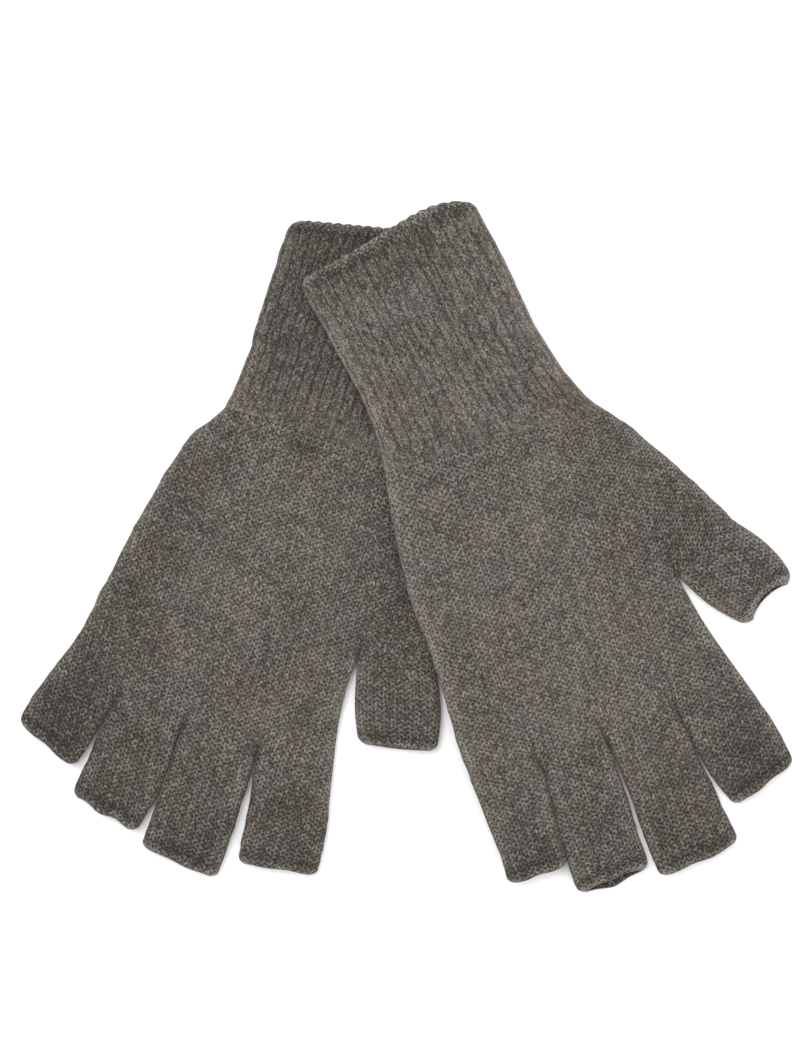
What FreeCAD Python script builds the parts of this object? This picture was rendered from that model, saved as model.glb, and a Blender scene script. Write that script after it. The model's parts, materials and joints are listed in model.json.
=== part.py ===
import FreeCAD, Part
import math
import os

import Sketcher

# A pair of fingerless knitted gloves, laid one across the other.
#
# Each glove is a set of flattened tubes. It is drawn in a glove frame of its own: the origin is the
# middle of the wrist on the underside, +Y runs up the cuff, -Y runs towards the fingers, +X is the
# thumb side and +Z is up. A station is a distance from the wrist towards the fingers, a shift is a
# distance towards the thumb side, and a turn leans a section towards the thumb side, in degrees.
# The left glove lies flat with its palm up. The right glove lies across it with its back up, rolled
# a little so that it rests on the left glove along one side and on the table along the other.

# ---------------------------------------------------------------- driving dimensions, millimetres

SHARED_DIMENSIONS = {
    "fabric_wall": 1.2,        # thickness of one knitted layer
    "flat_height": 8.0,        # thickness of a whole tube as it lies
    "pressed_flat": 0.1,       # how far a hand's underside is pressed flat by its weight
    "fold_gap": 0.3,           # slack between two tubes at a fold line
    "finger_gap": 0.6,         # slack between neighbouring stalls
    "edge_length": 2.6,        # depth of a bound-off edge
    "edge_round": 0.45,        # rounding of the free rims
    "welt_length": 3.2,        # depth of the cast-on welt of the cuff
    "cuff_length": 76.0,       # ribbed part, without the welt
    "cuff_end_width": 68.4,
    "palm_length": 116.0,      # from the wrist to the roots of the fingers
    "little_width": 25.5,
    "ring_width": 25.5,
    "middle_width": 27.5,
    "index_width": 27.5,
    "thumb_width": 28.5,
    "gusset_start_width": 16.0,
    "join_width": 3.0,         # pillar of stitches in a fork between two stalls
    "join_length": 4.0,
}

LEFT_DIMENSIONS = {
    "lay_x": -32.1,
    "lay_y": 38.8,
    "lay_z": 0.0,
    "lay_turn": -18.0,
    "lay_roll": 0.0,
    "cuff_slack": 0.0,         # the left cuff never moves against its hand
    "cuff_end_shift": 0.0,
    "cuff_end_turn": 15.0,
    "wrist_width": 72.0,
    "wrist_shift": 0.0,
    "heel_station": 15.0,
    "heel_width": 84.0,
    "heel_shift": -2.0,
    "fork_station": 72.0,
    "fork_width": 95.5,
    "fork_shift": -8.2,
    "knuckle_shift": -11.8,
    "gusset_start_shift": 33.0,
    "gusset_start_station": 14.0,
    "thumb_root_shift": 57.0,
    "thumb_root_station": 80.6,
    "thumb_turn": 18.0,
    "thumb_length": 13.6,
    "thumb_join_shift": 38.4,
    "thumb_join_station": 61.0,
    "little_length": 16.0,
    "little_tip_shift": -5.0,
    "little_tip_width": 24.0,
    "little_turn": -22.0,
    "ring_length": 32.0,
    "ring_tip_shift": -3.4,
    "ring_tip_width": 24.4,
    "ring_turn": -15.0,
    "middle_length": 41.0,
    "middle_tip_shift": 0.0,
    "middle_tip_width": 27.0,
    "middle_turn": -6.0,
    "index_length": 31.5,
    "index_tip_shift": 6.9,
    "index_tip_width": 28.0,
    "index_turn": 7.0,
}

RIGHT_DIMENSIONS = {
    "lay_x": 30.2,
    "lay_y": 35.8,
    "lay_z": 7.9,
    "lay_turn": 21.0,
    "lay_roll": 4.05,
    "cuff_slack": 0.3,
    "cuff_end_shift": -9.5,
    "cuff_end_turn": 4.0,
    "wrist_width": 79.0,
    "wrist_shift": 0.0,
    "heel_station": 13.0,
    "heel_width": 86.0,
    "heel_shift": 1.4,
    "fork_station": 70.0,
    "fork_width": 95.0,
    "fork_shift": 0.5,
    "knuckle_shift": 4.0,
    "gusset_start_shift": 33.0,
    "gusset_start_station": 13.0,
    "thumb_root_shift": 62.3,
    "thumb_root_station": 66.5,
    "thumb_turn": 29.0,
    "thumb_length": 20.6,
    "thumb_join_shift": 46.2,
    "thumb_join_station": 61.5,
    "little_length": 30.5,
    "little_tip_shift": -3.0,
    "little_tip_width": 23.0,
    "little_turn": -4.0,
    "ring_length": 41.5,
    "ring_tip_shift": -4.2,
    "ring_tip_width": 25.4,
    "ring_turn": -2.0,
    "middle_length": 45.0,
    "middle_tip_shift": -0.5,
    "middle_tip_width": 29.5,
    "middle_turn": 4.0,
    "index_length": 29.5,
    "index_tip_shift": 5.6,
    "index_tip_width": 25.0,
    "index_turn": 12.0,
}

FINGERS = ["little", "ring", "middle", "index"]        # from the outer side to the thumb side

# ---------------------------------------------------------------- document and sheet

doc = FreeCAD.newDocument("fingerless_gloves")
sheet = doc.addObject("Spreadsheet::Sheet", "dims")


def fill_sheet(dimensions, prefix, first_row):
    """Write one group of dimensions into the sheet, each cell with its alias."""
    for row, (name, value) in enumerate(dimensions.items(), start=first_row):
        cell = "B%d" % row
        sheet.set("A%d" % row, prefix + name)
        sheet.set(cell, str(value))
        sheet.setAlias(cell, prefix + name)
    return first_row + len(dimensions)


next_row = fill_sheet(SHARED_DIMENSIONS, "", 1)
next_row = fill_sheet(LEFT_DIMENSIONS, "left_", next_row)
next_row = fill_sheet(RIGHT_DIMENSIONS, "right_", next_row)
doc.recompute()


def origin_plane(body, role):
    """One of the body's own origin planes, found by its role."""
    for feature in body.Origin.OriginFeatures:
        if feature.Role == role:
            return feature
    raise RuntimeError("no plane " + role)


# ---------------------------------------------------------------- sections of a flattened tube

def add_stadium(sketch, width, height):
    """Draw a stadium about the sketch's origin. width and height are expressions."""
    start = sketch.GeometryCount
    half_flat = 10.0
    radius = 2.0
    left = FreeCAD.Vector(-half_flat, 0, 0)
    right = FreeCAD.Vector(half_flat, 0, 0)
    up = FreeCAD.Vector(0, radius, 0)
    normal = FreeCAD.Vector(0, 0, 1)
    quarter = math.pi / 2
    top = sketch.addGeometry(Part.LineSegment(left + up, right + up))
    right_arc = sketch.addGeometry(Part.ArcOfCircle(Part.Circle(right, normal, radius), -quarter, quarter))
    bottom = sketch.addGeometry(Part.LineSegment(right - up, left - up))
    left_arc = sketch.addGeometry(Part.ArcOfCircle(Part.Circle(left, normal, radius), quarter, 3 * quarter))
    sketch.addConstraint(Sketcher.Constraint("Tangent", top, 2, right_arc, 2))
    sketch.addConstraint(Sketcher.Constraint("Tangent", right_arc, 1, bottom, 1))
    sketch.addConstraint(Sketcher.Constraint("Tangent", bottom, 2, left_arc, 2))
    sketch.addConstraint(Sketcher.Constraint("Tangent", left_arc, 1, top, 1))
    sketch.addConstraint(Sketcher.Constraint("Horizontal", top))
    sketch.addConstraint(Sketcher.Constraint("Equal", left_arc, right_arc))
    sketch.addConstraint(Sketcher.Constraint("Symmetric", left_arc, 3, right_arc, 3, -1, 1))
    name = "radius_%d" % start
    sketch.addConstraint(Sketcher.Constraint("Radius", right_arc, radius))
    sketch.renameConstraint(sketch.ConstraintCount - 1, name)
    sketch.setExpression("Constraints." + name, "(%s) / 2" % height)
    name = "half_flat_%d" % start
    sketch.addConstraint(Sketcher.Constraint("DistanceX", -1, 1, right_arc, 3, half_flat))
    sketch.renameConstraint(sketch.ConstraintCount - 1, name)
    sketch.setExpression("Constraints." + name, "((%s) - (%s)) / 2" % (width, height))


def section_sketch(body, name, place, sunk="0"):
    """A sketch across the glove. place gives its shift, station and turn as expressions."""
    sketch = body.newObject("Sketcher::SketchObject", name)
    sketch.AttachmentSupport = [(origin_plane(body, "XZ_Plane"), "")]
    sketch.MapMode = "FlatFace"
    if "turn" in place:
        tilt = FreeCAD.Rotation(FreeCAD.Vector(0, 1, 0), 1.0)
        sketch.AttachmentOffset = FreeCAD.Placement(FreeCAD.Vector(0, 0, 0), tilt)
        sketch.setExpression("AttachmentOffset.Rotation.Angle", place["turn"] + " * 1 deg")
    sketch.setExpression("AttachmentOffset.Base.x", place["shift"])
    sketch.setExpression("AttachmentOffset.Base.y", "dims.flat_height / 2 - " + sunk)
    sketch.setExpression("AttachmentOffset.Base.z", place["station"])
    return sketch


OUTER_HEIGHT = "dims.flat_height"
INNER_HEIGHT = "dims.flat_height - 2 * dims.fabric_wall"


def inner_width(width):
    return "(%s) - 2 * dims.fabric_wall" % width


def loft(body, kind, name, places, height, narrowing, sunk="0"):
    """A loft through one stadium at each place; narrowing turns a tube's width into the loft's."""
    sketches = []
    for number, place in enumerate(places):
        sketch = section_sketch(body, "%s_section_%d" % (name, number), place, sunk)
        add_stadium(sketch, narrowing(place["width"]), height)
        sketches.append(sketch)
    feature = body.newObject(kind, name)
    feature.Profile = sketches[0]
    feature.Sections = sketches[1:]
    feature.Ruled = True
    return feature


def add_tubes(body, tubes, sunk="0"):
    """Fuse the outsides of the tubes first, then hollow them all, so that they open into each other."""
    for number, places in enumerate(tubes):
        loft(body, "PartDesign::AdditiveLoft", "%s_outside_%d" % (body.Name, number), places,
             OUTER_HEIGHT, str, sunk)
    for number, places in enumerate(tubes):
        loft(body, "PartDesign::SubtractiveLoft", "%s_inside_%d" % (body.Name, number), places,
             INNER_HEIGHT, inner_width)


def add_rim(body, place, length, backwards):
    """A short ring that carries a tube's section on past its end, with a rounded free edge."""
    sketch = section_sketch(body, body.Name + "_ring", place)
    add_stadium(sketch, place["width"], OUTER_HEIGHT)
    add_stadium(sketch, inner_width(place["width"]), INNER_HEIGHT)
    pad = body.newObject("PartDesign::Pad", body.Name + "_pad")
    pad.Profile = sketch
    pad.setExpression("Length", length)
    pad.Reversed = backwards
    doc.recompute()
    free_face = farthest_face(pad.Shape, sketch.Placement.Base)
    rounding = body.newObject("PartDesign::Fillet", body.Name + "_rounding")
    rounding.Base = (pad, [free_face])
    rounding.setExpression("Radius", "dims.edge_round")


def farthest_face(shape, point):
    """The name of the face that lies farthest along the ring from the sketch that it was made from."""
    names = ["Face%d" % (number + 1) for number in range(len(shape.Faces))]
    flat = [name for name in names if "Plane" in shape.getElement(name).Surface.TypeId
            and len(shape.getElement(name).Wires) == 2]
    return max(flat, key=lambda name: shape.getElement(name).CenterOfMass.distanceToPoint(point))


def rectangle_sketch(body, name, place, width, length):
    """A rectangle in plan that runs from its station towards the cuff. All sizes are expressions."""
    sketch = body.newObject("Sketcher::SketchObject", name)
    sketch.AttachmentSupport = [(origin_plane(body, "XY_Plane"), "")]
    sketch.MapMode = "FlatFace"
    sketch.setExpression("AttachmentOffset.Base.x", place["shift"])
    sketch.setExpression("AttachmentOffset.Base.y", "-(%s)" % place["station"])
    sketch.setExpression("AttachmentOffset.Base.z", place["height"])
    corners = [FreeCAD.Vector(x, y, 0) for x, y in ((-1, 0), (1, 0), (1, 3), (-1, 3))]
    sides = [sketch.addGeometry(Part.LineSegment(corners[number], corners[(number + 1) % 4]))
             for number in range(4)]
    for number in range(4):
        sketch.addConstraint(Sketcher.Constraint("Coincident", sides[number], 2, sides[(number + 1) % 4], 1))
    for kind, side in (("Horizontal", 0), ("Vertical", 1), ("Horizontal", 2), ("Vertical", 3)):
        sketch.addConstraint(Sketcher.Constraint(kind, sides[side]))
    sketch.addConstraint(Sketcher.Constraint("Symmetric", sides[0], 1, sides[0], 2, -1, 1))
    for label, size, side in (("wide", width, 0), ("long", length, 1)):
        sketch.addConstraint(Sketcher.Constraint("Distance", sides[side], 2.0))
        sketch.renameConstraint(sketch.ConstraintCount - 1, label)
        sketch.setExpression("Constraints." + label, size)
    return sketch


def join_sketch(body, name, shift, station):
    """The outline of a pillar of stitches, drawn on the inner face of the lower layer."""
    place = {"shift": shift, "station": station, "height": "dims.fabric_wall"}
    return rectangle_sketch(body, name, place, "dims.join_width", "dims.join_length")


def add_join(body, shift, station):
    """A pillar of stitches between the two layers, with its far end at the station."""
    pad = body.newObject("PartDesign::Pad", body.Name + "_pad")
    pad.Profile = join_sketch(body, body.Name + "_outline", shift, station)
    pad.setExpression("Length", INNER_HEIGHT)


def cut_away(body, sketch, depth, upwards):
    """Cut a sketch's outline out of the body, and make sure that it cut something."""
    doc.recompute()
    volume_before = body.Shape.Volume
    pocket = body.newObject("PartDesign::Pocket", sketch.Name + "_cut")
    pocket.Profile = sketch
    pocket.setExpression("Length", depth)
    pocket.Reversed = upwards
    doc.recompute()
    if body.Shape.Volume >= volume_before:
        raise RuntimeError(sketch.Name + " cuts nothing")


def clear_for_join(hand, shift, station):
    """Make room for a pillar where the two hollows of a hand meet in a ridge."""
    outline = join_sketch(hand, hand.Name + "_join_outline", shift, station)
    cut_away(hand, outline, INNER_HEIGHT, True)


def press_flat(hand):
    """Give the sunk underside of a hand one plane to rest on."""
    place = {"shift": "0", "station": "1.5 * dims.palm_length", "height": "0"}
    reach = "2 * dims.palm_length"
    table = rectangle_sketch(hand, hand.Name + "_table", place, reach, reach)
    cut_away(hand, table, "dims.flat_height", False)


# ---------------------------------------------------------------- one glove

KNUCKLE_WIDTH = " + ".join("dims.%s_width" % finger for finger in FINGERS)


def past_fingers(knuckle_shift, fingers):
    """The shift at the far side of these fingers, counted along the knuckles from the outer side."""
    start = "%s - (%s) / 2" % (knuckle_shift, KNUCKLE_WIDTH)
    return " + ".join([start] + ["dims.%s_width" % finger for finger in fingers])


def new_body(side, name):
    body = doc.addObject("PartDesign::Body", side + "_" + name)
    body.Label = side + "_" + name
    return body


def build_glove(side):
    """All the bodies of one glove, in the glove frame."""
    def cell(name):
        return "dims.%s_%s" % (side, name)

    bodies = []
    wrist = {"station": "0", "shift": cell("wrist_shift"), "width": cell("wrist_width")}
    heel = {"station": cell("heel_station"), "shift": cell("heel_shift"), "width": cell("heel_width")}
    fork = {"station": cell("fork_station"), "shift": cell("fork_shift"), "width": cell("fork_width")}
    knuckles = {"station": "dims.palm_length", "shift": cell("knuckle_shift"), "width": KNUCKLE_WIDTH}
    gusset_start = {"station": cell("gusset_start_station"), "shift": cell("gusset_start_shift"),
                    "turn": cell("thumb_turn"), "width": "dims.gusset_start_width"}

    def along_thumb(distance):
        """A place on the thumb's line, past the line where the thumb folds."""
        return {"station": "%s + (%s) * cos(%s)" % (cell("thumb_root_station"), distance, cell("thumb_turn")),
                "shift": "%s + (%s) * sin(%s)" % (cell("thumb_root_shift"), distance, cell("thumb_turn")),
                "turn": cell("thumb_turn"), "width": "dims.thumb_width"}

    # the hand opens into the thumb through the gusset
    hand = new_body(side, "hand")
    add_tubes(hand, [[wrist, heel, fork, knuckles], [gusset_start, along_thumb("0")]], "dims.pressed_flat")
    press_flat(hand)
    clear_for_join(hand, cell("thumb_join_shift"), cell("thumb_join_station"))
    bodies.append(hand)

    # the ribbed cuff and the cast-on welt at its end
    cuff_root = dict(wrist, station="-" + cell("cuff_slack"))
    cuff_end = {"station": "-dims.cuff_length", "shift": cell("cuff_end_shift"),
                "turn": cell("cuff_end_turn"), "width": "dims.cuff_end_width"}
    cuff = new_body(side, "cuff")
    add_tubes(cuff, [[cuff_root, cuff_end]])
    bodies.append(cuff)
    welt = new_body(side, "cuff_welt")
    add_rim(welt, cuff_end, "dims.welt_length", True)
    bodies.append(welt)

    # four finger stalls side by side along the knuckles, each with its bound-off edge
    for number, finger in enumerate(FINGERS):
        width = "dims.%s_width" % finger
        root_shift = "%s + %s / 2" % (past_fingers(cell("knuckle_shift"), FINGERS[:number]), width)
        root = {"station": "dims.palm_length + dims.fold_gap", "shift": root_shift,
                "width": width + " - dims.finger_gap"}
        tip = {"station": "dims.palm_length + " + cell(finger + "_length"),
               "shift": "%s + %s" % (root_shift, cell(finger + "_tip_shift")),
               "turn": cell(finger + "_turn"), "width": cell(finger + "_tip_width")}
        stall = new_body(side, finger)
        add_tubes(stall, [[root, tip]])
        bodies.append(stall)
        edge = new_body(side, finger + "_edge")
        add_rim(edge, tip, "dims.edge_length", False)
        bodies.append(edge)

    # the thumb stall
    thumb = new_body(side, "thumb")
    thumb_tip = along_thumb(cell("thumb_length"))
    add_tubes(thumb, [[along_thumb("dims.fold_gap"), thumb_tip]])
    bodies.append(thumb)
    thumb_edge = new_body(side, "thumb_edge")
    add_rim(thumb_edge, thumb_tip, "dims.edge_length", False)
    bodies.append(thumb_edge)

    # the stitches that close the forks
    for number in range(1, len(FINGERS)):
        join = new_body(side, "%s_%s_join" % (FINGERS[number - 1], FINGERS[number]))
        add_join(join, past_fingers(cell("knuckle_shift"), FINGERS[:number]), "dims.palm_length")
        bodies.append(join)
    thumb_join = new_body(side, "thumb_index_join")
    add_join(thumb_join, cell("thumb_join_shift"), cell("thumb_join_station"))
    bodies.append(thumb_join)
    return bodies


def lay(side, bodies, centre):
    """Put a glove's bodies where the glove lies."""
    turn = FreeCAD.Rotation(FreeCAD.Vector(0, 0, 1), sheet.get(side + "_lay_turn"))
    roll = FreeCAD.Rotation(FreeCAD.Vector(0, 1, 0), sheet.get(side + "_lay_roll"))
    spot = FreeCAD.Vector(*[sheet.get("%s_lay_%s" % (side, axis)) for axis in "xyz"])
    for body in bodies:
        body.Placement = FreeCAD.Placement(spot - centre, roll * turn)


gloves = {side: build_glove(side) for side in ("left", "right")}
for side, bodies in gloves.items():
    lay(side, bodies, FreeCAD.Vector(0, 0, 0))
doc.recompute()

# the pair is centred over the origin
around = FreeCAD.BoundBox()
for bodies in gloves.values():
    for body in bodies:
        around.add(body.Shape.optimalBoundingBox(False, False))
centre = FreeCAD.Vector(around.Center.x, around.Center.y, 0)
for side, bodies in gloves.items():
    lay(side, bodies, centre)
doc.recompute()

# ---------------------------------------------------------------- checks and files

for item in doc.Objects:
    if "Invalid" in item.State or "Error" in item.State:
        raise RuntimeError("%s failed: %s" % (item.Label, item.State))
os.makedirs("parts", exist_ok=True)
for bodies in gloves.values():
    for body in bodies:
        if body.Shape.isNull() or not body.Shape.isValid() or len(body.Shape.Solids) != 1:
            raise RuntimeError("%s has no sound solid" % body.Label)
        body.Shape.exportStep(os.path.join("parts", body.Label + ".step"))
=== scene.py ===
import json

import bpy
import numpy as np
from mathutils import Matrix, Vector


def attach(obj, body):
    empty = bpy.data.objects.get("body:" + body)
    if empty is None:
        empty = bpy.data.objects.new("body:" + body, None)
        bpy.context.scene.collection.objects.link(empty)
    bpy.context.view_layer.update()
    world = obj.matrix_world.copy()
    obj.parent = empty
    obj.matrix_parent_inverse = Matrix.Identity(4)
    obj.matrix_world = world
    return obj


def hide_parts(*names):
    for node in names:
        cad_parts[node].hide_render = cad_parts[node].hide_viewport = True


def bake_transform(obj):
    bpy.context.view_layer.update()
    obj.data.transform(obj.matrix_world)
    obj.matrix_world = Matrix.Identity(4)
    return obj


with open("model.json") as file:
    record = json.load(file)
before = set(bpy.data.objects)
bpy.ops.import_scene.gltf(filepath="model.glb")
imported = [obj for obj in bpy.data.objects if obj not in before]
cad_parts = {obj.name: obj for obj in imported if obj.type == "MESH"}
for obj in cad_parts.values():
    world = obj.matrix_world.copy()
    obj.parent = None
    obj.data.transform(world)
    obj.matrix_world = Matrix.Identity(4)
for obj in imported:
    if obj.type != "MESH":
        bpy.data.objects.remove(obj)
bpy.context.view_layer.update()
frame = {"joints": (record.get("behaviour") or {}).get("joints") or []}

# A pair of fingerless knitted gloves, one laid across the other. Every knitted tube is a grid of
# stitches: across the tube it is divided into wales (columns of stitches) and along it into courses
# (rounds of stitches). Lengths are in millimetres in a glove's own frame: a station is a distance from
# the wrist towards the fingers, a shift is a distance towards the thumb side.

METRES = 0.001

# ---------------- sizes of the knitting

COURSE = 1.78  # height of one round of stitches
WALE = 2.4  # width of one column of stitches, measured across the glove
ROW_STEP = 0.575  # distance between mesh rows, about three to a course
FABRIC = 1.2  # thickness of the knitting
GUSSET_COLUMNS = 44
FINGER_COLUMNS = 40  # mesh columns across one finger
CUFF_COLUMNS = 136
PALM = 116.0  # from the wrist to the roots of the fingers
FINGERS = ["little", "ring", "middle", "index"]
ROOT_WIDTHS = [25.5, 25.5, 27.5, 27.5]
HINGE_STATION = PALM + 0.15  # the line where the fingers fold, at the top of the tubes
HINGE_HEIGHT = 8.0
FORK_SPREAD = 15.0  # how far a fork's crease runs back into the hand
EDGE_ROWS = int(round(2.6 / ROW_STEP))  # bound-off edge of a stall
WELT_ROWS = int(round(3.2 / ROW_STEP))  # cast-on welt of a cuff

HAND_THICKNESS = 6.8
STALL_THICKNESS = 6.4
CUFF_THICKNESS = 7.0
FINGER_FOLD_LENGTH = 15.0  # the part of a stall that bends when it folds
THUMB_FOLD_LENGTH = 10.0
CUFF_FOLD = (-4.5, -24.0)  # stations between which the cuff bends
SCALLOP = 0.24  # how far the ribs stand out at the end of a cuff
ROLL_HEIGHT = 0.35  # how much thicker an edge's rolled chain is
LOWER_SQUASH = 0.83  # the lower layer lies flatter than the upper one
LEAST_OPENING = 0.06  # half the gap that stays between the insides of the two layers
LEAST_HEIGHT = 0.02  # how near the knitting comes to the table

# Outlines, as (shift, station) points chosen along each edge. Lists of tips, bellies, bows, waves, mouths
# and leans go finger by finger. A tip is the two corners of a stall's end, a belly is how far its two
# edges swell outwards, a bow is how far its end bulges, a wave is how unevenly, a mouth is how far its
# lower layer shows, and a lean is its angle at the end in degrees. The painted side shades and the
# painted cuff shade are painted shade where the light falls off: how much darker the yarn is painted at
# the two sides, and over the cuff between two stations. The base tone darkens the whole glove.
LEFT = {
    "wrist_lean": 0.0,
    "outer_edge": [(-34.4, 0.0), (-38.0, 6.0), (-42.4, 11.5), (-45.8, 22.0), (-50.0, 39.9), (-55.6, 72.0),
                   (-60.0, 96.0), (-66.8, PALM)],
    "gusset_line": [(31.0, 0.0), (33.5, 15.0), (36.6, 45.0), (38.7, 71.5)],
    "thumb_side": [(36.5, 0.0), (41.6, 14.0), (53.0, 38.0), (66.6, 65.5)],
    "index_side": [(38.7, 71.5), (38.3, 80.0), (39.2, 93.0), (43.5, PALM)],
    "thumb_inner": [(38.7, 71.5), (43.6, 89.0), (48.3, 99.7)],
    "thumb_outer": [(66.6, 65.5), (73.1, 80.0), (76.2, 93.7)],
    "thumb_bow": 0.1,
    "thumb_mouth": 0.8,
    "thumb_hinge_share": 0.42,
    "tips": [((-69.9, 130.0), (-46.5, 139.4)), ((-43.7, 148.6), (-18.2, 154.9)),
             ((-14.8, 158.6), (14.6, 161.6)), ((20.2, 153.6), (48.7, 149.4))],
    "bellies": [(1.0, 0.0), (1.0, 1.2), (0.1, 0.3), (-0.3, 1.0)],
    "bows": [0.0, -0.4, 0.3, -0.1],
    "waves": [0.4, 0.9, 0.3, 0.3],
    "mouths": [0.7, 0.5, 0.9, 0.6],
    "leans": [22.0, 15.0, 4.0, -7.0],
    "cuff_outer": [(-34.4, 0.0), (-32.9, -11.0), (-32.9, -41.3), (-32.8, -71.2)],
    "cuff_thumb": [(36.5, 0.0), (35.0, -20.0), (33.6, -55.0), (32.3, -84.0)],
    "cuff_bow": 0.1,
    "cuff_wales": 34,
    "rib_depth": 0.78,
    "base_tone": 0.03,
    "side_tones": (0.12, 0.09),
    "cuff_tone": (0.09, 5.0, -30.0),
}
RIGHT = {
    "wrist_lean": 7.6,
    "outer_edge": [(-38.8, 0.0), (-41.8, 12.6), (-46.4, 41.5), (-46.6, 60.9), (-47.9, 79.6), (-49.4, 100.0),
                   (-49.3, PALM)],
    "gusset_line": [(37.0, 0.0), (39.5, 13.0), (43.2, 45.0), (46.3, 68.0)],
    "thumb_side": [(44.0, 0.0), (49.4, 8.0), (52.8, 16.0), (62.9, 36.0), (72.4, 56.4)],
    "index_side": [(46.3, 68.0), (48.7, 84.0), (56.6, PALM)],
    "thumb_inner": [(46.3, 68.0), (53.4, 81.7), (63.0, 93.4)],
    "thumb_outer": [(72.4, 56.4), (80.4, 68.4), (83.4, 75.6), (85.0, 83.2)],
    "thumb_bow": -2.9,
    "thumb_mouth": 1.7,
    "thumb_hinge_share": 0.17,
    "tips": [((-50.2, 149.0), (-27.4, 150.0)), ((-27.7, 161.6), (-0.4, 161.7)),
             ((1.9, 166.5), (33.1, 164.3)), ((36.0, 152.2), (61.6, 145.1))],
    "bellies": [(-0.5, 0.0), (0.6, 0.1), (-0.5, -0.2), (1.6, 1.1)],
    "bows": [0.3, 0.6, 0.9, 0.3],
    "waves": [0.4, 0.5, 0.5, 0.4],
    "mouths": [0.5, 3.2, 0.6, 0.8],
    "leans": [4.0, 2.0, -4.0, -12.0],
    "cuff_outer": [(-38.8, 0.0), (-36.6, -20.2), (-39.4, -52.0), (-43.5, -78.8)],
    "cuff_thumb": [(44.0, 0.0), (38.6, -7.0), (35.5, -13.5), (30.7, -33.0), (28.6, -56.0), (25.6, -84.2)],
    "cuff_bow": 3.1,
    "cuff_wales": 32,
    "rib_depth": 0.64,
    "base_tone": 0.0,
    "side_tones": (0.05, 0.09),
    "cuff_tone": (0.07, -45.0, -85.0),
}
SHAPES = {"left": LEFT, "right": RIGHT}

# ---------------- numbers and noise


def smooth(value):
    """0 below 0, 1 above 1, and a smooth step between."""
    value = np.clip(value, 0.0, 1.0)
    return value * value * (3.0 - 2.0 * value)


def mix(first, second, share):
    return first + (second - first) * share


def cubic(start, end, start_slope, end_slope, part):
    """From start to end as part runs from 0 to 1, with these slopes at both."""
    return ((2 * part ** 3 - 3 * part ** 2 + 1) * start + (part ** 3 - 2 * part ** 2 + part) * start_slope
            + (3 * part ** 2 - 2 * part ** 3) * end + (part ** 3 - part ** 2) * end_slope)


def spline(points, share):
    """Points along a smooth curve through the given ones; share runs from 0 to 1 along it."""
    points = np.array(points, float)
    lengths = np.linalg.norm(np.diff(points, axis=0), axis=1)
    stops = np.concatenate([[0.0], np.cumsum(lengths)])
    slopes = np.gradient(points, stops, axis=0)
    place = np.clip(np.asarray(share, float), 0.0, 1.0) * stops[-1]
    span = np.clip(np.searchsorted(stops, place, side="right") - 1, 0, len(lengths) - 1)
    length = lengths[span][..., None]
    part = (place - stops[span])[..., None] / length
    return cubic(points[span], points[span + 1], length * slopes[span], length * slopes[span + 1], part)


def edge_at(points, station):
    """The edge's shift at a station."""
    trace = spline(points, np.linspace(0.0, 1.0, 400))
    order = np.argsort(trace[:, 1])
    return np.interp(station, trace[order, 1], trace[order, 0])


def make_lattice(seed, size=48):
    return np.random.RandomState(seed).rand(size, size, size) * 2.0 - 1.0


LATTICES = [make_lattice(seed) for seed in (3, 11, 29)]


def noise(points, grain, lattice=0):
    """Smooth noise from -1 to 1 with features about one grain (mm) across."""
    table = LATTICES[lattice]
    size = table.shape[0]
    scaled = np.asarray(points) / grain + 1000.0
    base = np.floor(scaled).astype(int)
    share = smooth(scaled - base)
    total = np.zeros(scaled.shape[:-1])
    for corner in np.ndindex(2, 2, 2):
        weight = np.ones(scaled.shape[:-1])
        for axis in range(3):
            weight = weight * (share[..., axis] if corner[axis] else 1.0 - share[..., axis])
        index = (base + corner) % size
        total += weight * table[index[..., 0], index[..., 1], index[..., 2]]
    return total


# Places in the noise, so that each glove, layer and edge has its own part of it.
LAYER_LEVELS = {True: 5.0, False: 55.0}  # the upper and the lower layer
LAYER_SHIFTS = {"left": 0.0, "right": 300.0}
EDGE_SHIFTS = {"left": 0.0, "right": 500.0}
EDGE_SPACING = 37.0
PUCKER_LEVELS = {"left": 9.0, "right": 90.0}

# ---------------- where each glove lies


def stack(*parts):
    """Points from their three coordinates, each of them a grid or one number."""
    return np.stack(np.broadcast_arrays(*parts), axis=-1)


def joint_named(name):
    return next(joint for joint in frame["joints"] if joint["name"] == name)


MIDDLE_ROOTS = {"left": -0.05, "right": 15.75}  # shift of the middle finger's root, where its joint is
LIFT_HEIGHT = 8.1  # the right glove's underside where it lies on the left one
SLOPE_START = (0.014, -0.072)  # from here the right glove slopes down to the table, row frame, metres
SLOPE_LENGTH = 85.0
PAINTED_SIDE_SHADE_START = 20.0  # distance from the middle line where the painted shade of the sides begins
PAINTED_SIDE_SHADE_WIDTH = 36.0
# painted shade towards the finger ends, where the light falls off
PAINTED_FINGER_SHADE = 0.12
PAINTED_FINGER_SHADE_START = 100.0
PAINTED_FINGER_SHADE_LENGTH = 52.0


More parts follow.
